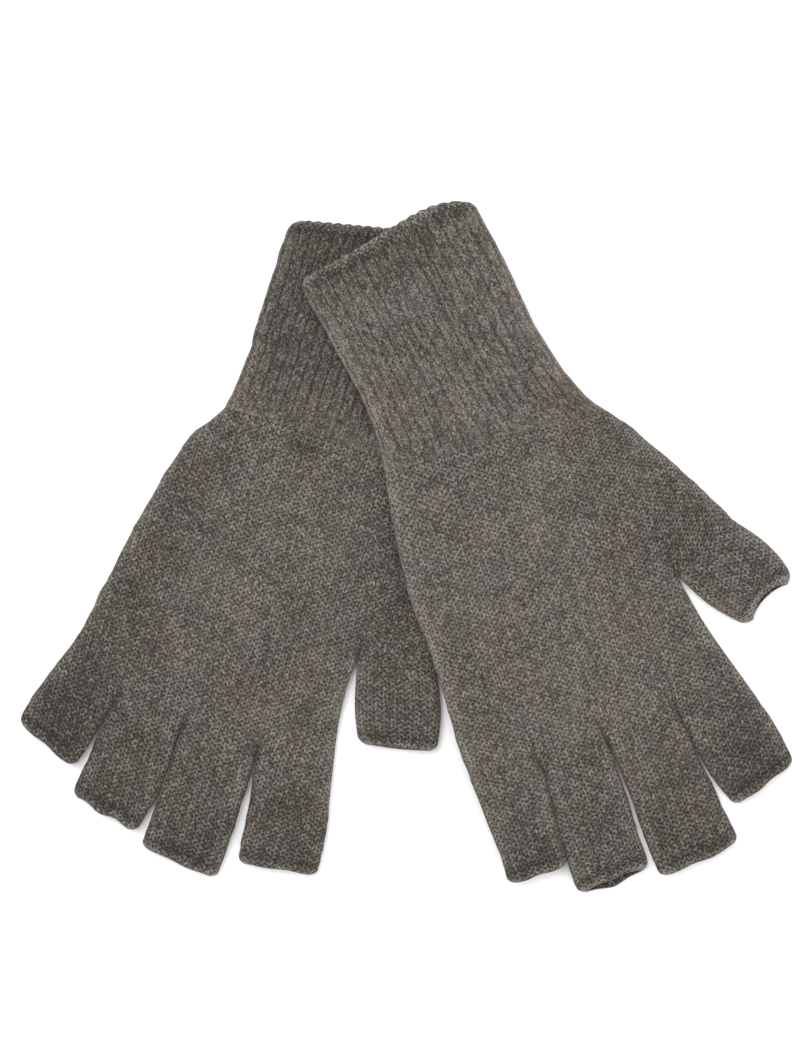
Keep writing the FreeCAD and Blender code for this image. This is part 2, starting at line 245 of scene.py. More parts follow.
class Glove:
    """One glove's frame, read from its joints."""

    def __init__(self, side):
        self.side = side
        self.shape = SHAPES[side]
        middle = joint_named(side + "_middle_fold")
        thumb = joint_named(side + "_thumb_fold")
        self.across = -np.array(middle["axis"], float)
        reach = np.array(thumb["pos_m"], float) - np.array(middle["pos_m"], float)
        reach -= self.across * reach.dot(self.across)
        self.along = reach / np.linalg.norm(reach)
        self.up = np.cross(self.across, self.along)
        self.origin = (np.array(middle["pos_m"], float)
                       - METRES * (MIDDLE_ROOTS[side] * self.across - HINGE_STATION * self.along
                                   + HINGE_HEIGHT * self.up))

    def place(self, shift, station, height):
        """Row-frame points in metres for glove-frame millimetres, draped over what lies below."""
        shift, station, height = np.broadcast_arrays(shift, station, height)
        points = self.origin + METRES * (shift[..., None] * self.across - station[..., None] * self.along)
        base = 0.0
        if self.side == "right":
            beyond = np.hypot(np.maximum(0.0, points[..., 0] - SLOPE_START[0]),
                              np.maximum(0.0, SLOPE_START[1] - points[..., 1])) / METRES
            base = LIFT_HEIGHT * (1.0 - smooth(beyond / SLOPE_LENGTH))
        points[..., 2] = METRES * (base + height)
        return points

    def tone(self, shift, station):
        """Painted shade: how much darker the yarn is painted towards the sides, the finger ends and the end
        of the cuff, where the light falls off away from the middle of the pair; the base tone darkens it all
        over."""
        outer, thumb = self.shape["side_tones"]
        amount, start, end = self.shape["cuff_tone"]
        sides = np.where(shift < 0.0, outer, thumb)
        sides = sides * smooth((np.abs(shift) - PAINTED_SIDE_SHADE_START) / PAINTED_SIDE_SHADE_WIDTH)
        ends = PAINTED_FINGER_SHADE * smooth((station - PAINTED_FINGER_SHADE_START) / PAINTED_FINGER_SHADE_LENGTH)
        cuff = amount * smooth((station - start) / (end - start))
        return self.shape["base_tone"] + sides + ends + cuff

    def point(self, shift, station):
        return tuple(self.origin + METRES * (shift * self.across - station * self.along
                                             + HINGE_HEIGHT * self.up))


# ---------------- tubes


def section(width, thickness, share):
    """One layer of a flattened tube: how far across it is (0 to width) and how high above the middle,
    with share running evenly along the fabric from one fold to the other."""
    exponent = 2.0 + width / 17.0
    angle = np.linspace(0.0, np.pi, 181)
    level = -np.cos(angle)
    across = (level + 1.0) * width / 2
    height = thickness / 2 * np.sqrt(np.maximum(0.0, 1.0 - np.abs(level) ** exponent))
    run = np.concatenate([[0.0], np.cumsum(np.hypot(np.diff(across), np.diff(height)))])
    run /= run[-1]
    return np.interp(share, run, across), np.interp(share, run, height)


WALE_RELIEF = 0.12  # how far a plain wale stands up
COURSE_RELIEF = 0.055  # how far each course rises and falls
STITCH_LEAN = 0.8  # by how many courses the legs of a stitch lean up to its middle
RIB_RELIEF = 0.46  # how far a rib stands up
RIB_FLOOR = 0.16  # how far the valley between two ribs lies below the fabric
SAG_HEIGHT = 0.55  # the slow rise and fall of a soft tube, and how long it is
SAG_GRAIN = 26.0
RIPPLE_HEIGHT = 0.30
RIPPLE_GRAIN = 9.0
UPPER_MOUTH = 0.75  # shares of the mouth by which the upper layer is shorter and the lower one longer
LOWER_MOUTH = 0.25


def course_steps(wale, course):
    """The rise and fall of the courses, which lean up along both legs of each stitch."""
    leg = np.abs(2.0 * (wale - np.floor(wale)) - 1.0)
    return np.cos(2.0 * np.pi * (course - STITCH_LEAN * leg))


def plain_relief(wale, course, points):
    """Height of the plain-knit stitches over the fabric, in millimetres."""
    ridge = 0.5 - 0.5 * np.cos(2.0 * np.pi * (wale - np.floor(wale)))
    ridge = ridge * (1.0 + 0.3 * noise(points, 1.5, 0))
    return WALE_RELIEF * ridge + COURSE_RELIEF * course_steps(wale, course) + 0.04 * noise(points, 0.9, 1)


def rib_relief(wale, course, points):
    """Height of the one-and-one rib: every other wale stands up."""
    rib = np.abs(np.cos(np.pi * wale / 2)) ** 0.75
    steps = course_steps(wale, course) * rib
    return RIB_RELIEF * rib - RIB_FLOOR + 0.05 * steps + 0.05 * noise(points, 1.2, 1)


def sag(points):
    """The slow rise and fall of the upper layer of a soft tube, in millimetres."""
    stretched = points * np.array([1.0, 0.6, 1.0])
    return SAG_HEIGHT * noise(stretched, SAG_GRAIN, 2) + RIPPLE_HEIGHT * noise(points, RIPPLE_GRAIN, 0)


class Sheet:
    """A grid of points on the fabric, row by row. For each it holds the shift and station, the height
    above the middle of the tube's thickness, the stitch coordinates wale and course, a window that fades
    the relief (1 inside the fabric, 0 at folds and forks), a shade (painted shade: how much darker the yarn
    is painted, and below 0 a painted highlight), a rib (0 on plain knit, up to 1 on ribs) and a mouth (how
    far the two layers' ends differ)."""

    NAMES = ("shift", "station", "height", "wale", "course", "window", "shade", "rib", "mouth")

    def __init__(self, *parts):
        for name, part in zip(self.NAMES, parts):
            setattr(self, name, part)

    def parts(self):
        return [getattr(self, name) for name in self.NAMES]

    def sliced(self, low, high):
        """Some of the sheet's rows."""
        return Sheet(*[part[low:high] for part in self.parts()])

    def narrowed(self):
        """The same sheet drawn in by one thickness of fabric at both folds."""
        width = np.abs(self.shift[:, -1:] - self.shift[:, :1])
        inset = 1.0 - 2.0 * FABRIC / np.maximum(width, 4.0 * FABRIC)
        drawn = [mix((part[:, :1] + part[:, -1:]) / 2, part, inset) for part in (self.shift, self.station)]
        return Sheet(*drawn, *self.parts()[2:])

    def row_middle(self, row):
        """The point of the glove frame half-way along a row."""
        return np.array([(part[row, 0] + part[row, -1]) / 2 for part in (self.shift, self.station)])


def stacked(rows):
    """A sheet from the rows' parts, each of them an array or one number for the whole row."""
    rows = [np.broadcast_arrays(*row) for row in rows]
    return Sheet(*[np.array(part) for part in zip(*rows)])


def layer_points(glove, sheet, upper, inner):
    """Row-frame points of one layer of a tube, outside or inside."""
    flat = stack(sheet.shift, sheet.station, LAYER_LEVELS[upper]) + LAYER_SHIFTS[glove.side]
    station = sheet.station - (UPPER_MOUTH if upper else -LOWER_MOUTH) * sheet.mouth
    middle = HAND_THICKNESS / 2
    if inner:
        raised = np.maximum(sheet.height - FABRIC, LEAST_OPENING)
    else:
        plain = plain_relief(sheet.wale, sheet.course, flat)
        ribbed = rib_relief(sheet.wale, sheet.course, flat)
        raised = sheet.height + mix(plain, ribbed, sheet.rib) * sheet.window
    if upper:
        level = middle + raised + sag(flat) * smooth(sheet.height / (0.45 * HAND_THICKNESS))
    else:
        level = np.maximum(middle - raised * LOWER_SQUASH, LEAST_HEIGHT)
    return glove.place(sheet.shift, station, level)


def waver(glove, along, amount, number):
    """A small irregular in-and-out of a fold line, in millimetres."""
    spots = stack(along, EDGE_SPACING * number, 0.0) + EDGE_SHIFTS[glove.side]
    return amount * (noise(spots, 6.0, 1) + 0.5 * noise(spots, 2.2, 2))


HAND_WAVER = 0.35
STRIP_WAVER = 0.3
WAVER_NUMBERS = {"outer": 1, "thumb": 2, "fingers": 10, "cuff": 40}  # each fold line's place in the noise


def wavy_edge(glove, points, side, stations, places, amount):
    """The edge's shift at these places, wavering station by station by a share of the usual amount."""
    return edge_at(points, places) + waver(glove, stations, HAND_WAVER, WAVER_NUMBERS[side]) * amount


# ---------------- meshes

LOWER_COURSES = 1000.0  # added to the lower layer's courses, so that its yarn has another pattern
INSIDE_COURSES = 500.0  # and to the inside's
# painted shade on the insides of the tubes
INSIDE_SHADE = 0.16
MERGE_DISTANCE = 2e-6  # points of two grids that lie this near each other (metres) become one


class Fabric:
    """Collects grids of points into one mesh with stitch coordinates on its faces."""

    def __init__(self):
        self.grids = []
        self.count = 0

    def add(self, points, wale, course, rib, shade, flip):
        """A grid of quads, with its stitch coordinates, rib and shade at the grid's points."""
        rows, columns = points.shape[:2]
        numbers = self.count + np.arange(rows * columns).reshape(rows, columns)
        corners = [numbers[:-1, :-1], numbers[:-1, 1:], numbers[1:, 1:], numbers[1:, :-1]]
        if flip:
            corners = corners[::-1]
        wale, course, rib, shade = [np.broadcast_to(part, (rows, columns)).reshape(-1)
                                    for part in (wale, course, rib, shade)]
        self.grids.append((points.reshape(-1, 3), np.stack(corners, axis=-1).reshape(-1, 4),
                           np.stack([wale, course], axis=-1), rib, shade))
        self.count += rows * columns

    def build(self, name, material):
        points, faces, coordinates, ribs, shades = [np.concatenate(part) for part in zip(*self.grids)]
        keys = np.round(points / MERGE_DISTANCE).astype(np.int64)
        unique, first, merged = np.unique(keys, axis=0, return_index=True, return_inverse=True)
        merged = merged.reshape(-1)
        joined = merged[faces]
        whole = np.array([len(set(face)) == 4 for face in joined.tolist()])
        mesh = bpy.data.meshes.new(name)
        mesh.vertices.add(len(unique))
        mesh.vertices.foreach_set("co", points[first].reshape(-1))
        thin = [list(dict.fromkeys(face)) for face in joined[~whole].tolist()]
        thin = [face for face in thin if len(face) == 3]
        corners = np.array(thin, int).reshape(-1)
        sides = [4] * int(whole.sum()) + [3] * len(thin)
        loops = np.concatenate([joined[whole].reshape(-1), corners])
        mesh.loops.add(len(loops))
        mesh.loops.foreach_set("vertex_index", loops)
        mesh.polygons.add(len(sides))
        mesh.polygons.foreach_set("loop_start", np.concatenate([[0], np.cumsum(sides)[:-1]]))
        mesh.update(calc_edges=True)
        sources = np.concatenate([faces[whole].reshape(-1), first[corners]])
        stitches = mesh.uv_layers.new(name="stitches")
        stitches.data.foreach_set("uv", coordinates[sources].reshape(-1).astype(np.float32))
        for label, values in (("rib", ribs), ("shade", shades)):
            attribute = mesh.attributes.new(label, "FLOAT", "POINT")
            attribute.data.foreach_set("value", values[first].astype(np.float32))
        mesh.validate()
        mesh.polygons.foreach_set("use_smooth", np.ones(len(mesh.polygons), bool))
        mesh.materials.append(material)
        piece = bpy.data.objects.new(name, mesh)
        bpy.context.collection.objects.link(piece)
        return piece


def inner_rows(count, step):
    rows = list(range(0, count, step))
    if rows[-1] != count - 1:
        rows.append(count - 1)
    return rows


def add_layers(fabric, glove, sheet, inner_step=6):
    """Both layers of a tube, outside and inside, with the inside in wider rows."""
    rows = inner_rows(sheet.shift.shape[0], inner_step)
    shade = sheet.shade + glove.tone(sheet.shift, sheet.station)
    for upper in (True, False):
        course = sheet.course + (0.0 if upper else LOWER_COURSES)
        outside = layer_points(glove, sheet, upper, False)
        fabric.add(outside, sheet.wale, course, sheet.rib, shade, upper)
        inside = layer_points(glove, sheet.narrowed(), upper, True)[rows]
        fabric.add(inside, sheet.wale[rows], course[rows] + INSIDE_COURSES, sheet.rib[rows], INSIDE_SHADE,
                   not upper)


def add_rim(fabric, glove, sheet, at_start, rounding=0.0):
    """Close a tube's start or end from its outside to its inside, rounded outwards by so many
    millimetres."""
    steps = 5 if rounding else 2
    row, neighbour = (0, 1) if at_start else (-1, -2)
    shade = (sheet.shade + glove.tone(sheet.shift, sheet.station))[row][None, :]
    for upper in (True, False):
        points = layer_points(glove, sheet, upper, False)
        inside = layer_points(glove, sheet.narrowed(), upper, True)[row]
        outside = points[row]
        outwards = outside - points[neighbour]
        outwards /= np.linalg.norm(outwards, axis=-1, keepdims=True)
        strip = []
        for number in range(steps):
            angle = np.pi * number / (steps - 1)
            share = (1.0 - np.cos(angle)) / 2
            strip.append(mix(outside, inside, share) + outwards * METRES * rounding * np.sin(angle))
        course = sheet.course[row] + (0.0 if upper else LOWER_COURSES)
        courses = course[None, :] + np.linspace(0.0, 1.0, steps)[:, None]
        fabric.add(np.array(strip), sheet.wale[row][None, :], courses, sheet.rib[row][None, :], shade,
                   upper != at_start)


# ---------------- the hand of a glove

HAND_COLUMNS = FINGER_COLUMNS * len(FINGERS)


def finger_stops():
    """The knuckle row's stops between fingers, as shares of its width."""
    return np.concatenate([[0.0], np.cumsum(ROOT_WIDTHS)]) / sum(ROOT_WIDTHS)


def hand_shares():
    """Shares across the hand of all its columns: even within the width of each finger."""
    fingers = np.arange(HAND_COLUMNS + 1) / FINGER_COLUMNS
    return np.interp(fingers, np.arange(len(FINGERS) + 1), finger_stops())


def parting(stops, shares, widths, closeness):
    """Section of a tube that parts into tubes side by side, the more the closer it is to the fork. stops
    are the shares where they meet. Gives the share across and the height."""
    across = np.zeros(shares.shape)
    height = np.zeros(shares.shape)
    start = 0.0
    for number, width in enumerate(widths):
        low, high = stops[number], stops[number + 1]
        inside = (shares >= low - 1e-9) & (shares <= high + 1e-9)
        local = np.clip((shares[inside] - low) / (high - low), 0.0, 1.0)
        x, z = section(width, HAND_THICKNESS, local)
        across[inside] = start + x
        height[inside] = z
        start += width
    whole = sum(widths)
    single_x, single_z = section(whole, HAND_THICKNESS, shares)
    return mix(single_x / whole, across / start, closeness), mix(single_z, height, closeness)


# painted highlight along the fold lines, and painted shade in the creases between fingers
FOLD_HIGHLIGHT = 0.22
FOLD_WIDTH = 4.4
CREASE_SHADE = 0.22
CREASE_WIDTH = 2.6
FORK_SHADE = 0.07
FORK_WIDTH = 0.014  # as a share of the hand's width
PUCKER_SHADE = 0.34
PUCKER_STATION = 3.0  # the puckers lie along this line, fading out over the length below
PUCKER_LENGTH = 6.5
RELIEF_FADE = 0.012  # share of the width over which the relief fades at folds and forks


def fold_highlight(shares, width):
    """Painted highlight: the yarn is painted lighter where the fabric turns over at its two fold lines."""
    near = np.minimum(shares, 1.0 - shares) * width
    return -FOLD_HIGHLIGHT * np.exp(-(near / FOLD_WIDTH) ** 2)


def crease_shade(shares, width, creases, closeness):
    """Painted shade: the yarn is painted darker along a side that lies against the next finger, in the
    crease.
    """
    low = creases[0] * np.exp(-(shares * width / CREASE_WIDTH) ** 2)
    high = creases[1] * np.exp(-((1.0 - shares) * width / CREASE_WIDTH) ** 2)
    return CREASE_SHADE * (low + high) * smooth(closeness / 0.6)


def near_forks(stops, shares, width):
    """1 where two tubes meet in a fork, and 0 away from there."""
    return sum(np.exp(-((shares - stop) / width) ** 2) for stop in stops[1:-1])


def wrist_shade(glove, shift, station):
    """Painted shade of puckers here and there along the line where the ribs end."""
    here = np.maximum(0.0, noise(stack(shift, station, PUCKER_LEVELS[glove.side]), 6.0, 2) - 0.25)
    return PUCKER_SHADE * np.exp(-((station - PUCKER_STATION) / PUCKER_LENGTH) ** 2) * here


def side_window(shares):
    """Fades the relief a little at the two fold lines, so that both layers meet."""
    return smooth(np.minimum(shares, 1.0 - shares) / RELIEF_FADE)


def hand_row(stops, shares, widths, to_fork):
    """Section, window and shade of a row that is so far from the fork it leads to. Close to the fork the
    relief fades and painted shade darkens the yarn where the tubes meet in a crease."""
    closeness = smooth(1.0 - to_fork / FORK_SPREAD)
    across, height = parting(stops, shares, widths, closeness)
    window = side_window(shares) * (1.0 - closeness * near_forks(stops, shares, RELIEF_FADE))
    crease = FORK_SHADE * closeness * near_forks(stops, shares, FORK_WIDTH)
    return across, height, window, fold_highlight(shares, sum(widths)) + crease


def wrist_slant(glove, fade, across):
    """How far a row leans with the seam of the wrist: fully where fade is 0, and not at all at 1."""
    return glove.shape["wrist_lean"] * (1.0 - smooth(fade)) * (across - 0.5)


def hand_with_gusset(glove):
    """From the wrist to the thumb's crotch: the palm's wales and the thumb gusset's beside them."""
    shape = glove.shape
    crotch = shape["gusset_line"][-1][1]
    stations = np.linspace(0.0, crotch, row_count(crotch))
    palm_shares = hand_shares()
    gusset_shares = np.arange(1, GUSSET_COLUMNS + 1) / GUSSET_COLUMNS
    rows = []
    grow = smooth(stations / 5.0)
    outer_x = wavy_edge(glove, shape["outer_edge"], "outer", stations, stations, grow)
    line_x = edge_at(shape["gusset_line"], stations)
    drop = crotch - shape["thumb_side"][-1][1]
    side_station = stations - drop * smooth(stations / crotch) * stations / crotch
    side_x = wavy_edge(glove, shape["thumb_side"], "thumb", stations, side_station, grow)
    for number, station in enumerate(stations):
        palm_width = line_x[number] - outer_x[number]
        gusset_width = np.hypot(side_x[number] - line_x[number], station - side_station[number])
        whole = palm_width + gusset_width
        stops = np.array([0.0, palm_width / whole, 1.0])
        shares = np.concatenate([palm_shares * stops[1], stops[1] + gusset_shares * (1.0 - stops[1])])
        across, height, window, shade = hand_row(stops, shares, [palm_width, gusset_width], crotch - station)
        on_gusset = np.maximum(0.0, (across - stops[1]) / (1.0 - stops[1]))
        on_palm = np.minimum(across / stops[1], 1.0)
        shift = outer_x[number] + on_palm * palm_width + on_gusset * (side_x[number] - line_x[number])
        place = station + on_gusset * (side_station[number] - station)
        place = place + wrist_slant(glove, station / 30.0, across)
        wale = np.concatenate([outer_x[number] + palm_shares * palm_width,
                               line_x[number] + gusset_shares * gusset_width]) / WALE
        shade = shade + wrist_shade(glove, shift, place)
        rows.append((shift, place, height, wale, station / COURSE, window, shade, 0.0, 0.0))
    return stacked(rows)


def hand_above_fingers(glove):
    """From the thumb's crotch to the knuckles, where the tube parts into four."""
    shape = glove.shape
    crotch = shape["gusset_line"][-1][1]
    stations = np.linspace(crotch, PALM, row_count(PALM - crotch))
    shares = hand_shares()
    stops = finger_stops()
    shrink = smooth((PALM - stations) / 8.0)
    outer_x = wavy_edge(glove, shape["outer_edge"], "outer", stations, stations, shrink)
    index_x = edge_at(shape["index_side"], stations)
    rows = []
    for number, station in enumerate(stations):
        width = index_x[number] - outer_x[number]
        across, height, window, shade = hand_row(stops, shares, width * np.diff(stops), PALM - station)
        rows.append((outer_x[number] + across * width, station, height,
                     (outer_x[number] + shares * width) / WALE, station / COURSE, window, shade, 0.0, 0.0))
    return stacked(rows)


END_LENGTH = 9.0  # bow, wave and mouth grow over this length at a tube's end
END_SHADE = 0.11  # painted shadow of the rolled edge: darker just before the edge,
END_SHADE_PLACE = 3.6  # so far from the end
END_SHADE_WIDTH = 1.9
EDGE_HIGHLIGHT = 0.14  # and a painted highlight on the edge itself,
EDGE_HIGHLIGHT_PLACE = 1.6  # from here on
EDGE_HIGHLIGHT_FADE = 0.8
ROUND_CORNER = 0.96  # sine of the angle that a corner is rounded through


def strip_tube(left, right, wale, first_course=0.0, thickness=STALL_THICKNESS, settle=10.0, rib_fade=0.0,
               rib_depth=1.0, corner=2.6, bow=0.0, bow_peak=0.5, mouth=0.0, wave=0.0, phase=0.0,
               creases=(0.0, 0.0)):
    """A tube between two edge curves, given row by row, with the wales across each row. Its thickness
    settles from the hand's over the settle length, and ribs come up over the rib_fade length. Its end
    has rounded corners, a bow that is highest at its peak, a wave, and a mouth that leaves the lower
    layer a little longer than the upper one. Creases say at which of its sides it lies against a
    neighbour."""
    shares = np.arange(wale.shape[1]) / (wale.shape[1] - 1)
    middles = (left + right) / 2
    runs = np.concatenate([[0.0], np.cumsum(np.linalg.norm(np.diff(middles, axis=0), axis=1))])
    heading = (middles[-1] - middles[-6]) / np.linalg.norm(middles[-1] - middles[-6])
    bulge = bow * np.sin(np.pi * shares ** (np.log(0.5) / np.log(bow_peak)))
    bulge = bulge + wave * np.sin(3.0 * np.pi * shares + phase) * np.sin(np.pi * shares)
    rows = []
    for number, run in enumerate(runs):
        to_corner = np.clip((run - runs[-1] + corner) / corner, 0.0, 1.0)
        inset = corner * (1.0 - np.sqrt(1.0 - (ROUND_CORNER * to_corner) ** 2))
        span = right[number] - left[number]
        width = np.linalg.norm(span)
        depth = mix(HAND_THICKNESS, thickness, smooth(run / settle))
        x, z = section(width - 2.0 * inset, depth, shares)
        spots = left[number] + span * ((x + inset) / width)[:, None]
        near_end = smooth((run - runs[-1] + END_LENGTH) / END_LENGTH)
        spots = spots + heading * (near_end * bulge)[:, None]
        rib = rib_depth * smooth(run / rib_fade) if rib_fade else 0.0
        # Painted shadow before the rolled edge, painted highlight on it and along the folds, painted shade
        # in the creases.
        end_shade = END_SHADE * np.exp(-((runs[-1] - run - END_SHADE_PLACE) / END_SHADE_WIDTH) ** 2)
        edge_highlight = EDGE_HIGHLIGHT * smooth((run - runs[-1] + EDGE_HIGHLIGHT_PLACE) / EDGE_HIGHLIGHT_FADE)
        shade = fold_highlight(shares, width) + end_shade - edge_highlight
        shade = shade + crease_shade(shares, width, creases, 1.0 - run / runs[-1])
        rows.append((spots[:, 0], spots[:, 1], z, wale[number], first_course + run / COURSE,
                     side_window(shares), shade, rib, mouth * near_end * np.sin(np.pi * shares)))
    return stacked(rows)


def knuckle_stops(glove):
    """The shifts where the fingers' roots begin and end along the knuckles."""
    low = glove.shape["outer_edge"][-1][0]
    high = glove.shape["index_side"][-1][0]
    return low + finger_stops() * (high - low)


def finger_curves(glove, number):
    """The two edges of a finger stall, from the knuckles to its end."""
    shape = glove.shape
    roots = knuckle_stops(glove)[number:number + 2]
    tips = np.array(shape["tips"][number])
    lean = np.radians(-shape["leans"][number])
    heading = np.array([np.sin(lean), np.cos(lean)])
    beside = np.array([np.cos(lean), -np.sin(lean)])
    reaches = [np.linalg.norm(tip - (root, PALM)) for root, tip in zip(roots, tips)]
    share = np.linspace(0.0, 1.0, row_count(min(reaches)))[:, None]
    edges = []
    for side, (root, tip, reach) in enumerate(zip(roots, tips, reaches)):
        start = np.array([root, PALM])
        edge = cubic(start, tip, tip - start, heading * reach, share)
        outwards = beside * (side * 2 - 1)
        edge = edge + outwards * shape["bellies"][number][side] * np.sin(np.pi * share)
        run = share[:, 0] * reach
        wobble = waver(glove, run, STRIP_WAVER, WAVER_NUMBERS["fingers"] + 2 * number + side)
        edges.append(edge + beside * (wobble * smooth(run / 6.0))[:, None])
    return edges


def finger_sheet(glove, number):
    left, right = finger_curves(glove, number)
    shares = np.arange(FINGER_COLUMNS + 1) / FINGER_COLUMNS
    wale = mix(left[:, :1], right[:, :1], shares) / WALE
    shape = glove.shape
    last = len(FINGERS) - 1
    return strip_tube(left, right, wale, PALM / COURSE, bow=shape["bows"][number],
                      mouth=shape["mouths"][number], wave=shape["waves"][number], phase=10.0 * number,
                      creases=(float(number > 0), float(number < last)))


def row_count(length):
    return int(round(length / ROW_STEP)) + 1


def between(inner, outer):
    """Points row by row along two edges: the first edge's length, shares of it, and both edges."""
    length = np.linalg.norm(np.array(inner[-1]) - inner[0])
    share = np.linspace(0.0, 1.0, row_count(length))
    return length, share, spline(inner, share), spline(outer, share)


def thumb_sheet(glove):
    """The thumb's tube from its crotch to its end. It goes on from the gusset's wales."""
    shape = glove.shape
    crotch = shape["thumb_inner"][0]
    _, share, left, right = between(shape["thumb_inner"], shape["thumb_outer"])
    across = np.linalg.norm(right[0] - left[0]) * np.arange(GUSSET_COLUMNS + 1) / GUSSET_COLUMNS
    wale = np.tile((crotch[0] + across) / WALE, (len(share), 1))
    return strip_tube(left, right, wale, crotch[1] / COURSE, corner=3.2, bow=shape["thumb_bow"],
                      mouth=shape["thumb_mouth"])


def cuff_sheet(glove):
    shape = glove.shape
    length, share, left, right = between(shape["cuff_outer"], shape["cuff_thumb"])
    for number, edge in enumerate((left, right), WAVER_NUMBERS["cuff"]):
        edge[:, 0] += waver(glove, share * length, STRIP_WAVER, number) * smooth(share * length / 6.0)
    across = np.arange(CUFF_COLUMNS + 1) / CUFF_COLUMNS
    wale = np.tile(shape["cuff_wales"] * across, (len(share), 1))
    sheet = strip_tube(left, right, wale, thickness=CUFF_THICKNESS, settle=12.0, rib_fade=14.0,
                       rib_depth=shape["rib_depth"], corner=4.6, bow=shape["cuff_bow"], bow_peak=0.77,
                       mouth=0.6)
    across = (sheet.shift - sheet.shift[:, :1]) / (sheet.shift[:, -1:] - sheet.shift[:, :1])
    sheet.station = sheet.station + wrist_slant(glove, share[:, None] / 0.3, across)
    return sheet


# ---------------- materials


class Nodes:
    """Short names for building a material's node tree."""

    def __init__(self, name):
        self.material = bpy.data.materials.new(name)
        self.material.use_nodes = True
        self.tree = self.material.node_tree
        self.shader = self.tree.nodes["Principled BSDF"]

    def plug(self, socket, value):
        if isinstance(value, bpy.types.NodeSocket):
            self.tree.links.new(value, socket)
        else:
            socket.default_value = value

    def settle(self, sockets):
        """Set the shader's own sockets by name."""
        for name, value in sockets.items():
            self.plug(self.shader.inputs[name], value)

    def node(self, kind, inputs, output=0, **options):
        """Add a node with these options, plug its inputs by name or number, and give one output."""
        node = self.tree.nodes.new("ShaderNode" + kind)
        for name, value in options.items():
            setattr(node, name, value)
        for name, value in inputs.items():
            self.plug(node.inputs[name], value)
        return node.outputs[output]

    def math(self, operation, *values):
        return self.node("Math", dict(enumerate(values)), operation=operation)

    def plus(self, first, second):
        return self.math("ADD", first, second)

    def less(self, first, second):
        return self.math("SUBTRACT", first, second)

    def times(self, first, second):
        return self.math("MULTIPLY", first, second)

    def weighed(self, parts):
        """The sum of (socket, middle value, weight) parts, each counted from its middle value."""
        total = 0.0
        for part, middle, weight in parts:
            total = self.plus(total, self.times(self.less(part, middle), weight))
        return total

    def hump(self, part, power):
        """1 in the middle of a stitch and 0 at both its ends, for a part that runs from 0 to 1."""
        level = self.math("ABSOLUTE", self.less(self.times(part, 2.0), 1.0))
        return self.less(1.0, self.math("POWER", level, power))

    def vector(self, *values):
        return self.node("CombineXYZ", dict(enumerate(values)))

    def noise(self, place, scale, roughness=0.5):
        inputs = {"Vector": place, "Scale": scale, "Detail": 2.0, "Roughness": roughness}
        return self.node("TexNoise", inputs, "Fac")

    def chance(self, place):
        return self.node("TexWhiteNoise", {"Vector": place}, "Value", noise_dimensions="3D")

    def attribute(self, name):
        return self.node("Attribute", {}, "Fac", attribute_name=name)

    def ramp(self, value, stops):
        node = self.tree.nodes.new("ShaderNodeValToRGB")
        self.plug(node.inputs["Fac"], value)
        elements = node.color_ramp.elements
        while len(elements) < len(stops):
            elements.new(0.5)
        for element, (position, colour) in zip(elements, stops):
            element.position = position
            element.color = (*colour, 1.0)
        return node.outputs["Color"]

    def tint(self, first, second, share, kind="MIX"):
        inputs = {"Factor": share, 6: first, 7: second}
        return self.node("Mix", inputs, 2, data_type="RGBA", blend_type=kind)


# Linear colours of the yarn, from its darkest fibres to its lightest.
YARN_DARK = (0.022, 0.019, 0.016)
YARN_MIDDLE = (0.090, 0.0805, 0.0705)
YARN_LIGHT = (0.215, 0.196, 0.176)
TINT_BROWN = (1.10, 0.99, 0.93)
TINT_OLIVE = (0.98, 1.01, 0.90)
# Scales of the yarn's noise, per metre: how stitches wander off their lines, the flecks of light and dark
# wool, single fibres, and slow clouds of tone, of brown and of olive.
WANDER_SCALE = 420.0
FLECK_SCALE = 1500.0
FIBRE_SCALE = 3600.0
CLOUD_SCALE = 75.0
BROWN_SCALE = 62.0
OLIVE_SCALE = 88.0
TINT_LIMIT = 0.6
YARN_CONTRAST = 0.98
YARN_VALUE = 0.450  # the value of unshaded yarn, where 0.5 is the middle colour


